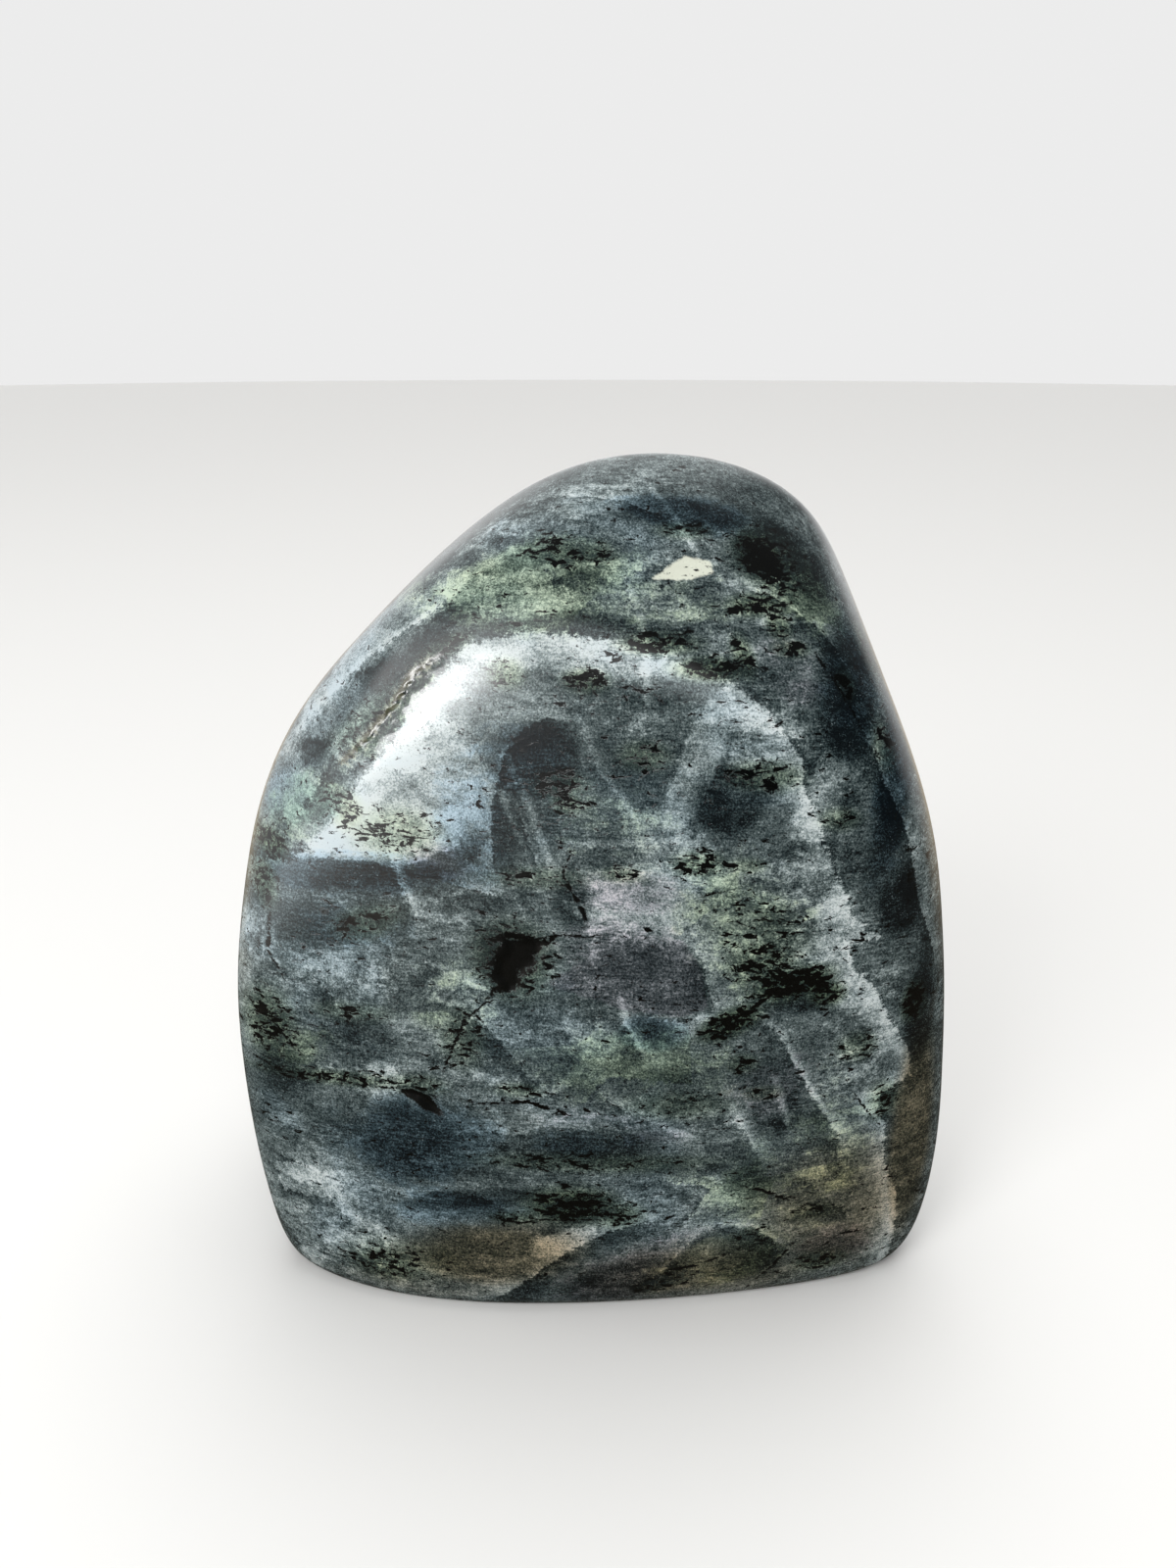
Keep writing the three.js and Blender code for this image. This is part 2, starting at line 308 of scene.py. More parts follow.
# Where small black inclusions gather: along, up, wide, high, tilt, strength
INK_CLUSTERS = (
    (0, 139, 9, 6, 0, 1.0), (6, 139, 7, 5, 0, 0.9), (35, 139, 9, 8, 0, 2.0),
    (37, 138, 15, 12, 0, 0.9), (31, 131, 13, 4, 5, 1.1), (34, 128, 5, 6, 0, 1.0),
    (13, 125, 13, 4, 0, 1.0), (20, 121, 12, 4, 0, 1.1), (26, 123, 4, 7, 0, 1.0),
    (35, 124, 7, 3, 0, 0.9), (9, 107, 8, 5, 0, 0.8), (1, 119, 7, 4, 0, 1.0),
    (-11, 120, 6, 5, 0, 0.9), (-4, 102, 9, 5, 0, 0.8), (-3, 99, 5, 4, 0, 1.0),
    (27, 104, 12, 5, 0, 0.9), (39, 97, 7, 4, 0, 0.8), (17, 89, 9, 5, 0, 1.0),
    (24, 89, 7, 3, 0, 0.8), (5, 87, 7, 3, 0, 0.9), (26, 78, 18, 12, -25, 0.7),
    (32, 68, 14, 6, 15, 1.7), (38, 66, 7, 5, 0, 1.4), (27, 72, 14, 10, -25, 1.0),
    (22, 61, 12, 5, 30, 1.5), (-50, 89, 5, 6, 0, 1.2), (-52, 82, 4, 9, 0, 1.0),
    (-54, 56, 9, 14, 0, 1.0), (-38, 97, 6, 9, 30, 0.8), (-30, 93, 14, 9, 0, 0.75),
    (-36, 77, 12, 6, 20, 0.8), (-45, 47, 26, 3, 0, 0.9), (-5, 24, 16, 8, 0, 1.4),
    (3, 22, 10, 6, 0, 0.9), (-13, 47, 9, 3, 0, 0.7), (-37, 9, 14, 8, 0, 0.9),
    (24, 53, 6, 4, 0, 0.8), (28, 47, 8, 3, 0, 0.8), (52, 43, 8, 8, 0, 0.9), (57, 62, 6, 8, 0, 1.6),
    (29, 16, 8, 5, 0, 0.8), (43, 8, 11, 5, 5, 0.9), (13, 6, 12, 5, 15, 0.8),
    (55, 123, 8, 10, 0, 1.2), (44, 118, 4, 5, 0, 1.1), (-13, 71, 13, 14, 0, 1.0),
    (-35, 10, 20, 10, 0, 0.5), (0, 33, 44, 4, 0, 0.7), (-8, 86, 16, 4, 0, 0.6),
    (49, 108, 6, 8, 0, 0.7), (-22, 57, 8, 12, 0, 0.7), (13, 45, 20, 6, 0, 0.6),
    (-40, 60, 14, 4, 0, 0.6), (22, 143, 10, 3, 0, 0.7), (-20, 124, 12, 3, 30, 0.8),
    (-33, 112, 4, 18, -42, 0.7), (45, 55, 8, 6, 0, 0.7), (-14, 21, 10, 3, 0, 0.8),
    (40, 20, 12, 4, 0, 0.6), (-30, 47, 10, 4, 0, 0.7),
)

# The markings by the names that the material reads them by
CLOUD_KINDS = {
    "pale_cloud": PALE_CLOUDS_AND_SHEEN, "teal_cloud": TEAL_CLOUDS, "olive_cloud": OLIVE_CLOUDS,
    "plum_cloud": PLUM_CLOUDS, "blue_cloud": BLUE_SHEEN_CLOUDS, "brown_cloud": BROWN_REFLECTION_CLOUDS,
    "ink_cluster": INK_CLUSTERS,
}
OUTLINE_KINDS = {
    "front_plate": FRONT_PLATE, "haze_plate": HAZE_PLATE_AND_GLEAM, "plum_plate": PLUM_PLATE,
    "white_patch": WHITE_PATCH, "cream_chip": CREAM_CHIP, "leaf": LEAF, "ink_patch": INK_PATCH,
}
LINE_KINDS = {"vein": PALE_VEINS, "ink_crack": INK_CRACKS, "rusty_crack": (RUSTY_CRACK,)}

# The stage
FLOOR_RADIUS = 4.0
SENSOR_WIDTH = 36
CAMERA_SIDE = -0.0011

# Each soft lamp: its name, the setting that holds its power, its place, what it is aimed at, its
# size, and whether it is only mirrored in the polish or only lights
LAMPS = (
    ("window_gleam", "gleam", (-0.555, -0.742, 0.245), (-0.03, -0.024, 0.108), (0.36, 0.18), True),
    ("window_light", "window", (-0.62, -0.85, 0.75), (-0.03, -0.024, 0.108), (0.50, 0.50), False),
    ("fill_light", "fill", (-0.15, -1.1, 1.3), (0, 0, 0.06), (1.4, 1.0), False),
)

# The light from above: how far it spreads and how it is turned, in degrees
SKY_SPREAD = 60
SKY_TURN = (-20, 5, 0)

# How bright the room is, as the camera sees it and as it lights the stone
ROOM_SEEN = 0.84
ROOM_LIGHT = 0.38

# How bright the parts of the room are that the polish mirrors
DARK_GLOW = 0.02
WALL_GLOW = 0.80
CEILING_GLOW = 0.10
LEFT_GLOW = 2.4
UPPER_GLOW = 2.0
UNDER_GLOW = 0.05
UNDER_WARMTH = (0.9, 0.75, 0.55, 1)


def smooth_step(value, low, high):
    share = np.clip((value - low) / (high - low), 0, 1)
    return share * share * (3 - 2 * share)


def direction(turn, rise):
    around, lift = math.radians(turn), math.radians(rise)
    return np.array((math.cos(lift) * math.cos(around), math.cos(lift) * math.sin(around), math.sin(lift)))


def surface_reach(outward):
    """How far the ground surface lies from the heart, along each direction given."""
    total = 0
    for group in FACE_GROUPS:
        pressure = 0
        for turn, rise, reach in group:
            pressure = pressure + np.maximum(0, outward @ direction(turn, rise) / reach) ** FACE_FLATNESS
        total = total + pressure ** (RIDGE_SHARPNESS / FACE_FLATNESS)
    return total ** (-1 / RIDGE_SHARPNESS)


def ground(points):
    """Pulls points, given from the heart, in or out until they lie on the ground surface."""
    outward = points / np.linalg.norm(points, axis=1, keepdims=True)
    return outward * surface_reach(outward)[:, None]


def chart(points):
    """Where points lie on the stone's chart, and how surely they belong to its face."""
    x, y, z = points.T
    behind = np.abs(y)
    along = x + CHART_LEAN[0] * (CHART_DEPTH - behind)
    up = z + CHART_LEAN[1] * (CHART_DEPTH - behind)
    # The back is marked as the front is, but the other way up, so no view repeats another
    along = np.where(y > 0, BACK_WIDTH * along - BACK_SHIFT, along)
    up = np.where(y > 0, BACK_TOP - up, up)
    return along, up, smooth_step(behind, *CHART_FADE)


def clouds(where, patches):
    """How strongly the nearest of some soft patches shows at each place."""
    along, up, sureness = where
    total = np.zeros_like(along)
    for at_along, at_up, wide, high, tilt, strength in patches:
        turn = math.radians(tilt)
        a, b = along - at_along, up - at_up
        across = (a * math.cos(turn) + b * math.sin(turn)) / (wide / 2)
        rising = (b * math.cos(turn) - a * math.sin(turn)) / (high / 2)
        far = np.sqrt(across ** 2 + rising ** 2)
        total = np.maximum(total, strength * (1 - smooth_step(far, *CLOUD_FADE)))
    return total * sureness


def line_offsets(where, lines, closed=False):
    """The distance to the nearest line, and the same with a sign for the side it is on."""
    along, up, _ = where
    nearest = np.full(along.shape, FAR_AWAY)
    signed = np.full(along.shape, FAR_AWAY)
    for line in lines:
        ends = list(zip(line, line[1:] + (line[:1] if closed else ())))
        for (a0, b0), (a1, b1) in ends:
            da, db = a1 - a0, b1 - b0
            length = math.hypot(da, db)
            share = np.clip(((along - a0) * da + (up - b0) * db) / length ** 2, 0, 1)
            gap_a, gap_b = along - (a0 + share * da), up - (b0 + share * db)
            gap = np.hypot(gap_a, gap_b)
            side = np.where(da * gap_b - db * gap_a < 0, -1, 1)
            closer = gap < nearest
            nearest = np.where(closer, gap, nearest)
            signed = np.where(closer, gap * side, signed)
    return nearest, signed


def edge_fields(where):
    """The signed distance to the nearest plate edge, and how strong that edge is there."""
    along, up, sureness = where
    signed = np.full(along.shape, FAR_AWAY)
    strength = np.zeros(along.shape)
    for power, *line in PLATE_EDGES:
        gap, side = line_offsets(where, (tuple(line),))
        start, end = (np.hypot(along - a, up - b) for a, b in (line[0], line[-1]))
        taper = smooth_step(np.minimum(start, end), *EDGE_TAPER)
        closer = gap < np.abs(signed)
        signed = np.where(closer, side, signed)
        strength = np.where(closer, power * taper, strength)
    return signed, strength * sureness * (1 - smooth_step(np.abs(signed), *EDGE_FADE))


def inside_offset(where, outline):
    """How deep a point lies inside an outline; outside it is less than nothing."""
    along, up, sureness = where
    gap, _ = line_offsets(where, (outline,), closed=True)
    inside = np.zeros(along.shape, bool)
    for (a0, b0), (a1, b1) in zip(outline, outline[1:] + outline[:1]):
        crosses = (b0 > up) != (b1 > up)
        if b1 != b0:
            inside ^= crosses & (along < (a1 - a0) * (up - b0) / (b1 - b0) + a0)
    return np.where(inside, gap, -gap) - OFF_FACE * (1 - sureness)


class Wire:
    """A socket that takes part in sums; each operator adds the node that it needs."""

    def __init__(self, recipe, socket):
        self.recipe = recipe
        self.socket = socket

    def __add__(self, other):
        return self.recipe.maths("ADD", self, other)

    def __sub__(self, other):
        return self.recipe.maths("SUBTRACT", self, other)

    def __rsub__(self, other):
        return self.recipe.maths("SUBTRACT", other, self)

    def __mul__(self, other):
        return self.recipe.maths("MULTIPLY", self, other)

    def __abs__(self):
        return self.recipe.maths("ABSOLUTE", self)

    __radd__ = __add__
    __rmul__ = __mul__


class Recipe:
    """A node tree that is written as sums and mixes."""

    def __init__(self, tree):
        self.tree = tree
        self.tree.nodes.clear()

    def add(self, kind, settings=None, sockets=None, output=0):
        node = self.tree.nodes.new(kind)
        for name, value in (settings or {}).items():
            if name == "stops":
                set_stops(node.color_ramp.elements, value)
            else:
                setattr(node, name, value)
        for key, value in (sockets or {}).items():
            if isinstance(value, Wire):
                self.tree.links.new(value.socket, node.inputs[key])
            else:
                node.inputs[key].default_value = value
        return Wire(self, node.outputs[output]) if node.outputs else node

    def maths(self, operation, *values):
        return self.add("ShaderNodeMath", {"operation": operation}, dict(enumerate(values)))

    def step(self, value, low, high):
        sockets = {"Value": value, "From Min": low, "From Max": high}
        return self.add("ShaderNodeMapRange", {"interpolation_type": "SMOOTHSTEP"}, sockets)

    def both(self, first, second):
        return self.maths("MAXIMUM", first, second)

    def mix(self, share, first, second, blend="MIX"):
        settings = {"data_type": "RGBA", "blend_type": blend, "clamp_factor": True}
        return self.add("ShaderNodeMix", settings, {0: share, 6: first, 7: second}, 2)

    def vector(self, operation, sockets):
        return self.add("ShaderNodeVectorMath", {"operation": operation}, sockets)

    def attribute(self, name):
        return self.add("ShaderNodeAttribute", {"attribute_name": name}, output=2)

    def stretched(self, place, turn, scale):
        sockets = {"Vector": place, "Rotation": [math.radians(angle) for angle in turn], "Scale": scale}
        return self.add("ShaderNodeMapping", None, sockets)

    def grain(self, place, scale, detail=2.0, rough=0.5, warp=0.0):
        sockets = {"Vector": place, "Scale": scale, "Detail": detail, "Roughness": rough, "Distortion": warp}
        return self.add("ShaderNodeTexNoise", None, sockets)

    def crystals(self, place, feature, output=0):
        sockets = {"Vector": place, "Scale": 1.0}
        return self.add("ShaderNodeTexVoronoi", {"feature": feature}, sockets, output)


def set_stops(elements, stops):
    """Gives a ramp its colours; it starts with two stops, which become the first and the last."""
    first, *between, last = stops
    for element, (position, colour) in ((elements[0], first), (elements[1], last)):
        element.position = position
        element.color = colour
    for position, colour in between:
        elements.new(position).color = colour


class StoneRecipe(Recipe):
    """The recipe of the polished stone, with the noises that all its markings share."""

    def __init__(self, tree, settings):
        super().__init__(tree)
        self.settings = settings
        metres = self.add("ShaderNodeTexCoord", output=3)
        self.place = self.vector("SCALE", {0: metres, "Scale": 1 / MM})
        leaning = self.stretched(self.place, (0, 5, 0), (0.45, 0.6, 1))
        brushed = self.stretched(self.place, (0, 2, 0), (0.13, 0.3, 1))
        self.dashed = self.stretched(self.place, (0, 4, 0), (0.45, 0.6, 1))

        # Noises from the broadest to the finest, each swinging to both sides of nought
        self.broad = self.grain(self.place, 0.035, detail=2, rough=0.5, warp=0.5) - 0.5
        self.drift = self.grain(leaning, 0.10, detail=4, rough=0.6, warp=0.7) - 0.5
        self.patch = self.grain(leaning, 0.30, detail=3, rough=0.6, warp=0.4) - 0.5
        self.mottle = self.grain(self.place, 0.80, detail=5, rough=0.80, warp=0.3) - 0.5
        self.streak = self.grain(brushed, 2.6, detail=3, rough=0.65) - 0.5
        self.salt = self.grain(self.place, 3.0, detail=2, rough=0.8) - 0.5

        # How far the outline of a plate wanders, and a line
        self.jag = self.drift * 3 + self.mottle * 9 + self.patch * 2 + self.streak * 3
        self.wiggle = self.mottle * 3.0

        domain_place = self.stretched(self.place, (20, 35, 10), (0.06, 0.07, 0.11))
        domain_place = self.vector("ADD", {0: domain_place, 1: self.mottle * 0.3})
        domain = self.crystals(domain_place, "F1", output=1)
        self.domain = self.add("ShaderNodeSeparateColor", None, {0: domain}) - 0.5

    def colour(self, name):
        return (*getattr(self.settings, name), 1)

    def cloud(self, name):
        """A soft patch whose outline is torn by the noises."""
        amount = self.attribute(name)
        ragged = self.drift * 0.5 + self.patch * 1.1 + self.mottle * 1.1 + self.domain * 0.45
        return self.step(amount + ragged, 0.10, 0.75) * self.step(amount, 0.0, 0.2)

    def plate(self, name, jag, low, high):
        """An outlined plate, from just outside its edge to just inside it."""
        return self.step(self.attribute(name) + self.jag * jag, low, high)

    def line(self, name, width, soft, wiggle):
        """The nearest of some lines, this many millimetres wide to each side."""
        side = abs(self.attribute(name + "_side") + wiggle)
        gap = self.attribute(name + "_gap")
        return (1 - self.step(side, width, width + soft)) * (1 - self.step(gap, width + 0.8, width + 1.8))

    def lightness(self):
        """How light the stone is at each place, before its colour."""
        light = BODY_LIGHT + self.broad * 0.2 + self.drift * 0.45 + self.patch * 0.65 + self.mottle * 0.85
        light = light + self.streak * (0.5 + self.drift * 1.5) + self.salt * 1.1

        # Crystal domains of slightly different tone, some with a pale seam between them
        light = light + self.domain * DOMAIN_SWING
        seam_place = self.stretched(self.place, (25, -30, 15), (0.06, 0.07, 0.10))
        seam = self.crystals(self.vector("ADD", {0: seam_place, 1: self.drift * 0.5}), "DISTANCE_TO_EDGE")
        light = light + (1 - self.step(seam, 0.0, 0.016)) * self.step(self.drift, 0.0, 0.08) * SEAM_GAIN

        # Pale clouds: partly clouded feldspar, partly painted reflection and light on the left slope and
        # shoulders
        pale, teal = self.cloud("pale_cloud"), self.cloud("teal_cloud")
        teal_loss = TEAL_CLOUD_LOSS + self.attribute("teal_cloud") * TEAL_CORE_LOSS
        light = light + pale * PALE_CLOUD_AND_SHEEN_GAIN - teal * teal_loss

        # The arch band just inside the front plate's edge is a painted highlight on the ridge, with the pale
        #         # plate edge; beyond it the stone is darker, partly its own tone and partly painted shade
        front = self.attribute("front_plate") + self.jag * 0.5
        face_share = self.step(self.attribute("face_share"), 0.3, 1.0)
        beyond = (1 - self.step(front, -0.4, 0.1)) * self.step(front, -12, -3) * face_share
        arch_highlight = self.step(front, -0.3, 0.3) * (1 - self.step(front, 0.3, 6)) * face_share
        light = light - beyond * BEYOND_ARCH_LOSS + arch_highlight * ARCH_HIGHLIGHT_GAIN

        # Painted reflection of the window's gleam on the upper left, over a pale plate
        haze_and_gleam = self.plate("haze_plate", 0.35, -1.0, 2.0)
        light = light + haze_and_gleam * (HAZE_AND_GLEAM_GAIN - self.mottle * 0.6 - self.streak * 0.5)
        edge = self.attribute("edge_side") + self.jag * 0.3
        paler = self.step(edge, -0.12, 0.12) * (1 - self.step(edge, 0.0, 5.5))
        darker = (1 - self.step(edge, -0.12, 0.12)) * self.step(edge, -6.5, 0.0)
        light = light + (paler * EDGE_GAIN - darker * EDGE_LOSS) * self.attribute("edge_strength")
        light = light - self.plate("plum_plate", 0.3, -0.3, 0.3) * PLUM_PLATE_LOSS
        light = light + self.plate("white_patch", 0.3, -0.2, 0.3) * WHITE_PATCH_GAIN
        light = light + self.line("vein", 0.1, 1.0, self.wiggle) * (VEIN_GAIN + self.drift * 0.5)
        return (light - CONTRAST_MIDDLE) * CONTRAST + CONTRAST_MIDDLE

    def tinted(self):
        """The feldspar in its colours; a tint leaves the light and dark of it as they are."""
        stops = [(position, self.colour(name)) for position, name in TONES]
        body = self.add("ShaderNodeValToRGB", {"stops": stops}, {"Fac": self.lightness()})
        olive = self.both(self.cloud("olive_cloud") * 0.75, self.attribute("ink_cluster") * 0.8)
        plum = self.both(self.cloud("plum_cloud"), self.plate("plum_plate", 0.3, -0.3, 0.3)) * 0.8
        # A warm brown near the base: painted reflection of a wooden floor
        brown = self.step(self.attribute("brown_cloud") + self.drift * 0.4, 0.0, 0.9)
        bluish = self.step(self.broad * 2 + self.drift, 0.0, 0.4) * 0.5
        # Blue clouds: partly bluish feldspar, partly painted labradorescent sheen
        blue = self.both(self.cloud("blue_cloud"), bluish)
        for share, name in ((olive, "olive"), (plum, "plum"), (brown, "brown"), (blue, "blue")):
            body = self.mix(share, body, self.colour(name), "MULTIPLY")
        return body

    def broken(self, body, chip):
        """Sparkles, chips and the rusty crack."""
        sparkle = self.step(self.salt + self.step(self.drift, 0.0, 0.3) * 0.04, *SPARKLE_LEVEL)
        body = self.mix(sparkle * 0.6, body, self.colour("bright"))
        body = self.mix(chip * 0.9, body, self.colour("cream"))
        flakes = self.line("rusty_crack", 0.1, 1.6, self.wiggle) * self.step(self.mottle, 0.0, 0.08)
        body = self.mix(flakes * 0.6, body, self.colour("cream"))
        rust = self.line("rusty_crack", 0.15, 0.6, self.wiggle)
        return self.mix(rust * 0.75, body, self.colour("rust"))

    def ink(self):
        """Black inclusions: the leaf, the ragged patch, cracks, specks and pits."""
        ragged = self.attribute("ink_patch") + self.mottle * 6 + self.patch * 3
        solid = self.step(self.both(self.attribute("leaf") + self.mottle * 2, ragged), -0.12, 0.12)
        width = 0.16 + self.both(self.drift, 0) * 2
        crack = self.line("ink_crack", width, 0.15, self.wiggle * 0.6)
        crack = crack * self.step(self.grain(self.dashed, 1.3, detail=2), 0.42, 0.48)
        cluster = self.attribute("ink_cluster")
        dashes = self.grain(self.dashed, 0.95, detail=4, rough=0.66, warp=0.5) + self.drift * 0.2
        dashes = self.step(dashes + cluster * 0.13, *DASH_LEVEL)
        pepper = self.grain(self.place, 1.7, detail=3, rough=0.6) + cluster * 0.10
        pepper = self.step(pepper, *PEPPER_LEVEL)
        pits = self.step(self.patch, -0.1, 0.15) * 0.03 - self.salt + cluster * 0.02
        pits = self.step(pits, *PIT_LEVEL)
        return self.both(self.both(solid, crack), self.both(self.both(dashes, pepper), pits))


def colour_property(name, description, default):
    return FloatVectorProperty(
        name=name, description=description, default=default, subtype="COLOR", min=0, max=1, size=3,
    )


class StoneSettings(bpy.types.PropertyGroup):
    cell: FloatProperty(
        name="Cell", description="Size of a mesh cell on the back of the stone",
        default=1.5 * MM, min=0.5 * MM, unit="LENGTH",
    )
    undulation: FloatProperty(
        name="Undulation", description="Height of the waves that hand polishing leaves",
        default=0.12 * MM, unit="LENGTH",
    )
    night: colour_property("Night", "Darkest depths of the feldspar", (0.003, 0.005, 0.006))
    teal: colour_property("Teal", "Deep clear feldspar", (0.018, 0.029, 0.031))
    slate: colour_property("Slate", "Body of the feldspar", (0.085, 0.110, 0.111))
    pale: colour_property("Pale", "Clouded feldspar and cleavage plates", (0.25, 0.30, 0.302))
    bright: colour_property("Bright", "The palest grains", (0.55, 0.60, 0.60))
    olive: colour_property("Olive", "Tint of the olive clouds", (0.93, 1.0, 0.68))
    plum: colour_property("Plum", "Tint of the plum clouds", (1.0, 0.86, 0.94))
    # The brown reflection tint paints the reflection of a warm wooden floor near the base
    brown: colour_property("Brown", "Tint of the brown clouds near the base", (1.0, 0.72, 0.48))
    # Blue: partly the bluish feldspar, partly painted labradorescent sheen
    blue: colour_property("Blue", "Tint of the bluish drifts", (0.74, 0.87, 1.0))
    cream: colour_property("Cream", "Unpolished chips and the flakes in the crack", (0.60, 0.62, 0.52))
    rust: colour_property("Rust", "Rust in the crack", (0.070, 0.062, 0.032))
    ink: colour_property("Ink", "Black inclusions", (0.0012, 0.0016, 0.0014))


class StageSettings(bpy.types.PropertyGroup):
    camera_height: FloatProperty(
        name="Camera height", description="Height of the camera above the floor",
        default=0.170, unit="LENGTH",
    )
    camera_distance: FloatProperty(
        name="Camera distance", description="How far in front of the stone's middle the camera is",
        default=0.2146, unit="LENGTH",
    )
    camera_pitch: FloatProperty(
        name="Camera pitch", description="How far the camera looks down",
        default=math.radians(20.57), subtype="ANGLE",
    )
    lens: FloatProperty(
        name="Lens", description="Focal length of the camera", default=28.125, unit="CAMERA",
    )
    window: FloatProperty(
        name="Window light", description="Power of the light from the window", default=6.0, unit="POWER",
    )
    gleam: FloatProperty(
        name="Gleam", description="Power of the window that the polish mirrors", default=4.0, unit="POWER",
    )
    fill: FloatProperty(
        name="Fill light", description="Power of the broad light from the front", default=10.0, unit="POWER",
    )
    top: FloatProperty(name="Top light", description="Strength of the soft light from above", default=2.1)
    floor: colour_property("Floor", "Colour of the floor", (0.72, 0.715, 0.70))


def subdivide_along(bm, axis, cuts):
    """Cuts every edge that runs along one axis."""
    edges = []
    for edge in bm.edges:
        run = edge.verts[1].co - edge.verts[0].co
        if abs(run[axis]) > 0.9 * run.length:
            edges.append(edge)
    bmesh.ops.subdivide_edges(bm, edges=edges, cuts=cuts, use_grid_fill=True)


def vertex_places(bm):
    return np.array([vert.co for vert in bm.verts])


def grind_blank(cell):
    """A finely divided block pulled onto the ground surface and cut flat underneath, in mm."""
    low, high = (np.array(corner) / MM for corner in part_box("stone"))
    size = high - low
    bm = bmesh.new()
    bmesh.ops.create_cube(bm, size=1)
    bmesh.ops.scale(bm, vec=Vector(size), verts=bm.verts)
    bmesh.ops.translate(bm, vec=(0, 0, size[2] / 2 - HEART_HEIGHT), verts=bm.verts)
    for axis in range(3):
        subdivide_along(bm, axis, round(size[axis] / cell) - 1)
    centres = ground(np.array([face.calc_center_median() for face in bm.faces]))
    shown = (centres[:, 1] < FINE_FROM) & (centres[:, 2] > -HEART_HEIGHT)
    edges = {edge for face, use in zip(bm.faces, shown) if use for edge in face.edges}
    bmesh.ops.subdivide_edges(bm, edges=list(edges), cuts=1, use_grid_fill=True)
    for vert, place in zip(bm.verts, ground(vertex_places(bm))):
        vert.co = place
    bmesh.ops.translate(bm, vec=(0, 0, HEART_HEIGHT), verts=bm.verts)
    everything = list(bm.verts) + list(bm.edges) + list(bm.faces)
    bmesh.ops.bisect_plane(bm, geom=everything, plane_co=(0, 0, 0), plane_no=(0, 0, -1), clear_outer=True)
    rim = [edge for edge in bm.edges if edge.is_boundary]
    bmesh.ops.contextual_create(bm, geom=rim)
    bm.normal_update()
    return bm


def flaw_depth(points):
    """How deep the chips, nicks and the broken crack bite into the surface."""
    depth = np.zeros(len(points))
    for turn, rise, length, width, deep, roll in FLAWS:
        outward = direction(turn, rise)
        place = outward * surface_reach(outward[None])[0] + (0, 0, HEART_HEIGHT)
        side = np.cross((0, 0, 1), outward)
        side /= np.linalg.norm(side)
        rising = np.cross(outward, side)
        turned = math.radians(roll)
        run = side * math.cos(turned) + rising * math.sin(turned)
        across = rising * math.cos(turned) - side * math.sin(turned)
        offset = points - place
        far = (offset @ run / (length / 2)) ** 2 + (offset @ across / (width / 2)) ** 2
        bite = deep * np.clip(1 - far, 0, 1) * (np.abs(offset @ outward) < FLAW_REACH)
        depth = np.maximum(depth, bite)
    return depth


def make_relief(bm, undulation):
    """Sinks the flaws and inclusions, and leaves the waves of hand polishing."""
    points = vertex_places(bm)
    normals = np.array([vert.normal for vert in bm.verts])
    where = chart(points)
    waves = np.array([noise.noise(Vector(point) / WAVE_LENGTH) for point in points])
    rough = np.array([noise.noise(Vector(point) / CRUMB_LENGTH) for point in points])
    crack_gap, _ = line_offsets(where, (RUSTY_CRACK,))
    front = points[:, 1] < 0
    crack = CRACK_DEPTH * (1 - smooth_step(crack_gap + 0.6 * rough, 0.1, 0.7)) * front
    leaf = LEAF_DEPTH * smooth_step(inside_offset(where, LEAF), -0.2, 0.5)
    patch = PATCH_DEPTH * smooth_step(inside_offset(where, INK_PATCH) + 0.6 * rough, 0, 0.8)
    flaws = FLAW_SHARE * flaw_depth(points) * np.clip(0.9 + 0.5 * rough, 0, 2)
    shift = undulation / MM * waves - np.maximum.reduce([crack, leaf, patch, flaws])
    shift *= smooth_step(points[:, 2], *BASE_FADE)
    for vert, move in zip(bm.verts, normals * shift[:, None]):
        vert.co += Vector(move)
    return points


def is_base(face):
    return abs(face.normal.z + 1) <= 1e-3 and face.calc_center_median().z <= 0.01


def store(mesh, name, values):
    layer = mesh.attributes.new(name, "FLOAT", "POINT")
    layer.data.foreach_set("value", np.asarray(values, np.float32))


def mark(mesh, points):
    """Writes where each kind of marking lies, for the material to read."""
    where = chart(points)
    for name, patches in CLOUD_KINDS.items():
        store(mesh, name, clouds(where, patches))
    for name, outline in OUTLINE_KINDS.items():
        store(mesh, name, inside_offset(where, outline))
    for name, lines in LINE_KINDS.items():
        gap, signed = line_offsets(where, lines)
        store(mesh, name + "_gap", gap + OFF_FACE * (1 - where[2]))
        store(mesh, name + "_side", signed)
    edge_side, edge_strength = edge_fields(where)
    store(mesh, "edge_side", edge_side)
    store(mesh, "edge_strength", edge_strength)
    store(mesh, "face_share", where[2])


def polished_labradorite(settings):
    material = bpy.data.materials.new("polished_labradorite")
    material.use_nodes = True
    r = StoneRecipe(material.node_tree, settings)
    chip = r.plate("cream_chip", 0.15, -0.2, 0.3)
    body = r.broken(r.tinted(), chip)

    # Round the black inclusions the stone is deeper in colour
    shade = r.step(r.attribute("ink_cluster") + r.drift, 0.25, 1.1) * r.step(0 - r.mottle, -0.1, 0.1)
    body = r.mix(shade * 0.5, body, r.colour("teal"))
    ink = r.ink()
    body = r.mix(ink, body, r.colour("ink"))

    # The polish is duller in the chips, with faint scratches, and sinks at the inclusions
    rough = POLISH + r.streak * 0.10 + r.mottle * 0.08 + chip * 0.3
    height = r.salt * 0.10 - ink * 0.12 + r.streak * 0.10 + r.mottle * 0.12
    bump = r.add("ShaderNodeBump", None, {"Strength": 0.25, "Distance": 0.3 * MM, "Height": height})
    stone = r.add("ShaderNodeBsdfPrincipled", None, {
        "Base Color": body, "Roughness": rough, "Normal": bump, "IOR": 1.5,
    })
    r.add("ShaderNodeOutputMaterial", None, {"Surface": stone})
    return material


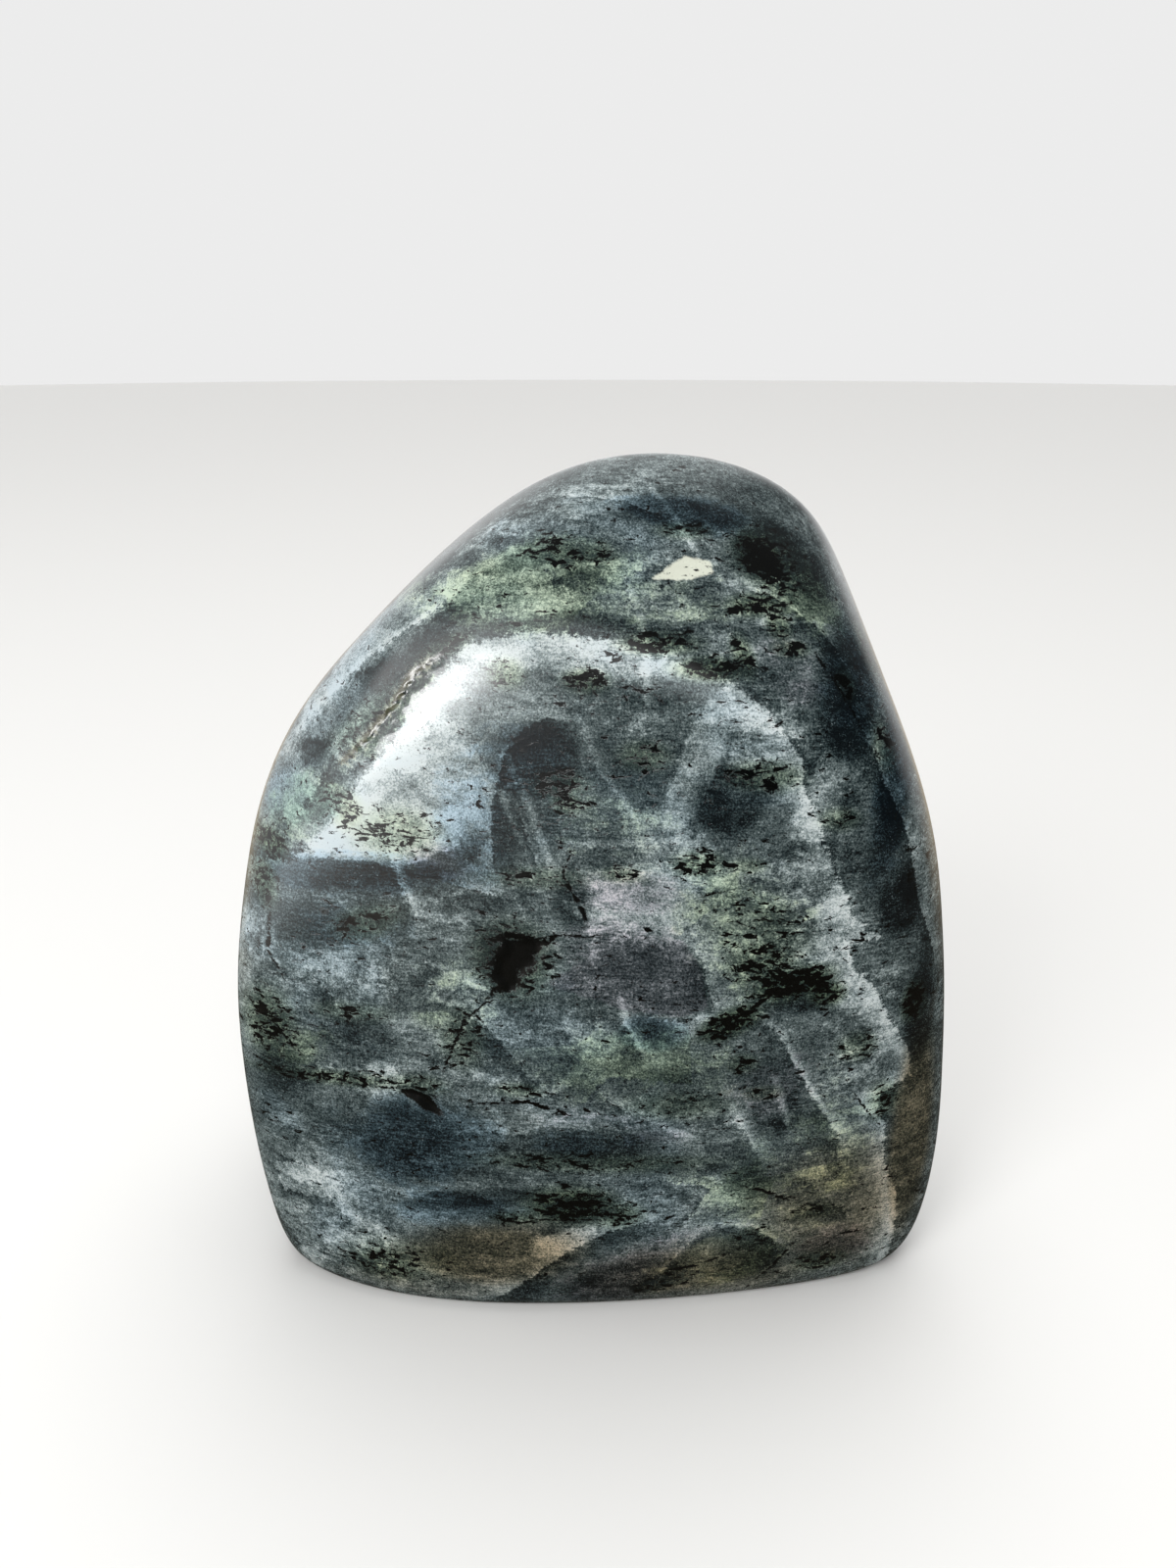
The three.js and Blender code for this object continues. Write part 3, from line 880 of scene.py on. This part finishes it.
class STONE_OT_make_stone(bpy.types.Operator):
    """Grind the stone, mark it and polish it"""

    bl_idname = "stone.make_stone"
    bl_label = "Make the stone"

    def execute(self, context):
        settings = context.scene.labradorite_stone
        bm = grind_blank(settings.cell / MM)
        points = make_relief(bm, settings.undulation)
        for face in bm.faces:
            face.smooth = not is_base(face)
        for edge in bm.edges:
            edge.smooth = all(face.smooth for face in edge.link_faces)
        mesh = bpy.data.meshes.new("labradorite_stone")
        bmesh.ops.triangulate(bm, faces=[face for face in bm.faces if len(face.verts) > 4])
        bmesh.ops.scale(bm, vec=(MM, MM, MM), verts=bm.verts)
        corners = vertex_places(bm)
        low, high = (np.array(corner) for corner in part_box("stone"))
        middle = (low + high) / 2 - (corners.min(0) + corners.max(0)) / 2
        bmesh.ops.translate(bm, vec=(middle[0], middle[1], 0), verts=bm.verts)
        bm.to_mesh(mesh)
        bm.free()
        mark(mesh, points + (middle[0] / MM, middle[1] / MM, 0))
        mesh.materials.append(polished_labradorite(settings))
        stone = bpy.data.objects.new("labradorite_stone", mesh)
        context.scene.collection.objects.link(stone)
        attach(stone, "root")
        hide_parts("stone")
        return {"FINISHED"}


def lay_floor(scene, colour):
    bm = bmesh.new()
    bmesh.ops.create_circle(bm, cap_ends=True, segments=96, radius=FLOOR_RADIUS)
    mesh = bpy.data.meshes.new("floor")
    bm.to_mesh(mesh)
    bm.free()
    material = bpy.data.materials.new("plain_floor")
    material.use_nodes = True
    r = Recipe(material.node_tree)
    paper = r.add("ShaderNodeBsdfPrincipled", None, {
        "Base Color": (*colour, 1), "Roughness": 0.7, "Specular IOR Level": 0.2,
    })
    r.add("ShaderNodeOutputMaterial", None, {"Surface": paper})
    mesh.materials.append(material)
    floor = bpy.data.objects.new("floor", mesh)
    scene.collection.objects.link(floor)
    floor.visible_glossy = False


def light_room(scene):
    """Makes the room plain and pale, with brighter sides that only the polish mirrors."""
    world = scene.world or bpy.data.worlds.new("soft_room")
    scene.world = world
    world.use_nodes = True
    w = Recipe(world.node_tree)
    seen = w.add("ShaderNodeLightPath")
    mirrored = w.add("ShaderNodeLightPath", output=3)
    look = w.add("ShaderNodeTexCoord", output=0)
    across, away, up = (w.add("ShaderNodeSeparateXYZ", None, {0: look}, axis) for axis in range(3))
    toward = 1 - w.step(away, -0.2, 0.2)

    wall = w.both(w.step(away, 0.15, 0.5), w.step(away, -0.2, 0.1) * w.step(0 - across, 0.0, 0.3))
    wall = wall * w.step(up, -0.45, -0.22)
    wall = wall * (1 - w.step(across, 0.35, 0.55) * w.step(up, 0.0, 0.2) * 0.9)
    ceiling = w.step(up, 0.45, 0.95)
    left = w.step(0 - across, 0.28, 0.5) * w.step(up, -0.3, 0.0) * (1 - w.step(up, 0.3, 0.6)) * toward
    upper = w.step(up, 0.20, 0.36) * (1 - w.step(up, 0.50, 0.72)) * toward
    upper = upper * (1 - w.step(across, 0.0, 0.35))
    under = w.step(0 - up, 0.05, 0.3)

    glow = DARK_GLOW + wall * WALL_GLOW + ceiling * CEILING_GLOW + left * LEFT_GLOW + upper * UPPER_GLOW
    glow = glow + under * UNDER_GLOW
    strength = seen * ROOM_SEEN + mirrored * glow + (1 - seen) * (1 - mirrored) * ROOM_LIGHT
    shade = w.mix(under * mirrored, (1, 1, 1, 1), UNDER_WARMTH)
    room = w.add("ShaderNodeBackground", None, {"Color": shade, "Strength": strength})
    w.add("ShaderNodeOutputWorld", None, {"Surface": room})


def hang_lamp(scene, lamp, place, turn, mirrored, lights):
    """Hangs a lamp that the camera doesn't see, and that the polish mirrors only if it should."""
    holder = bpy.data.objects.new(lamp.name, lamp)
    holder.location = place
    holder.rotation_euler = turn
    holder.visible_glossy = mirrored
    holder.visible_diffuse = lights
    holder.visible_camera = False
    scene.collection.objects.link(holder)


def hang_lamps(scene, settings):
    for name, power, place, aim, size, mirrored in LAMPS:
        lamp = bpy.data.lights.new(name, "AREA")
        lamp.shape = "RECTANGLE"
        lamp.size, lamp.size_y = size
        lamp.energy = getattr(settings, power)
        turn = (Vector(aim) - Vector(place)).to_track_quat("-Z", "Y").to_euler()
        hang_lamp(scene, lamp, place, turn, mirrored, lights=not mirrored)
    sky = bpy.data.lights.new("top_light", "SUN")
    sky.energy = settings.top
    sky.angle = math.radians(SKY_SPREAD)
    turn = [math.radians(angle) for angle in SKY_TURN]
    hang_lamp(scene, sky, (0, 0, 0), turn, mirrored=False, lights=True)


def set_camera(scene, settings):
    camera = bpy.data.cameras.new("camera")
    camera.lens = settings.lens
    camera.sensor_width = SENSOR_WIDTH
    camera.clip_start = 0.005
    camera.clip_end = 20
    holder = bpy.data.objects.new("camera", camera)
    holder.location = (CAMERA_SIDE, -settings.camera_distance, settings.camera_height)
    holder.rotation_euler = (math.pi / 2 - settings.camera_pitch, 0, 0)
    scene.collection.objects.link(holder)
    scene.camera = holder
    scene.view_settings.view_transform = "Standard"


class STONE_OT_make_stage(bpy.types.Operator):
    """Lay the floor, and set the room, the lamps and the camera"""

    bl_idname = "stone.make_stage"
    bl_label = "Make the stage"

    def execute(self, context):
        settings = context.scene.labradorite_stage
        lay_floor(context.scene, settings.floor)
        light_room(context.scene)
        hang_lamps(context.scene, settings)
        set_camera(context.scene, settings)
        return {"FINISHED"}


class STONE_PT_sidebar(bpy.types.Panel):
    bl_idname = "STONE_PT_sidebar"
    bl_label = "Labradorite freeform"
    bl_space_type = "VIEW_3D"
    bl_region_type = "UI"
    bl_category = "Stone"

    def draw(self, context):
        for title, settings, operator in (
            ("Stone", context.scene.labradorite_stone, STONE_OT_make_stone),
            ("Stage", context.scene.labradorite_stage, STONE_OT_make_stage),
        ):
            box = self.layout.box()
            box.label(text=title)
            for name in type(settings).__annotations__:
                box.prop(settings, name)
            box.operator(operator.bl_idname)


CLASSES = (StoneSettings, StageSettings, STONE_OT_make_stone, STONE_OT_make_stage, STONE_PT_sidebar)


def register():
    for cls in CLASSES:
        bpy.utils.register_class(cls)
    bpy.types.Scene.labradorite_stone = PointerProperty(type=StoneSettings)
    bpy.types.Scene.labradorite_stage = PointerProperty(type=StageSettings)


def unregister():
    del bpy.types.Scene.labradorite_stage
    del bpy.types.Scene.labradorite_stone
    for cls in reversed(CLASSES):
        bpy.utils.unregister_class(cls)


def main():
    register()
    bpy.ops.stone.make_stone()
    bpy.ops.stone.make_stage()


if __name__ == "__main__":
    main()
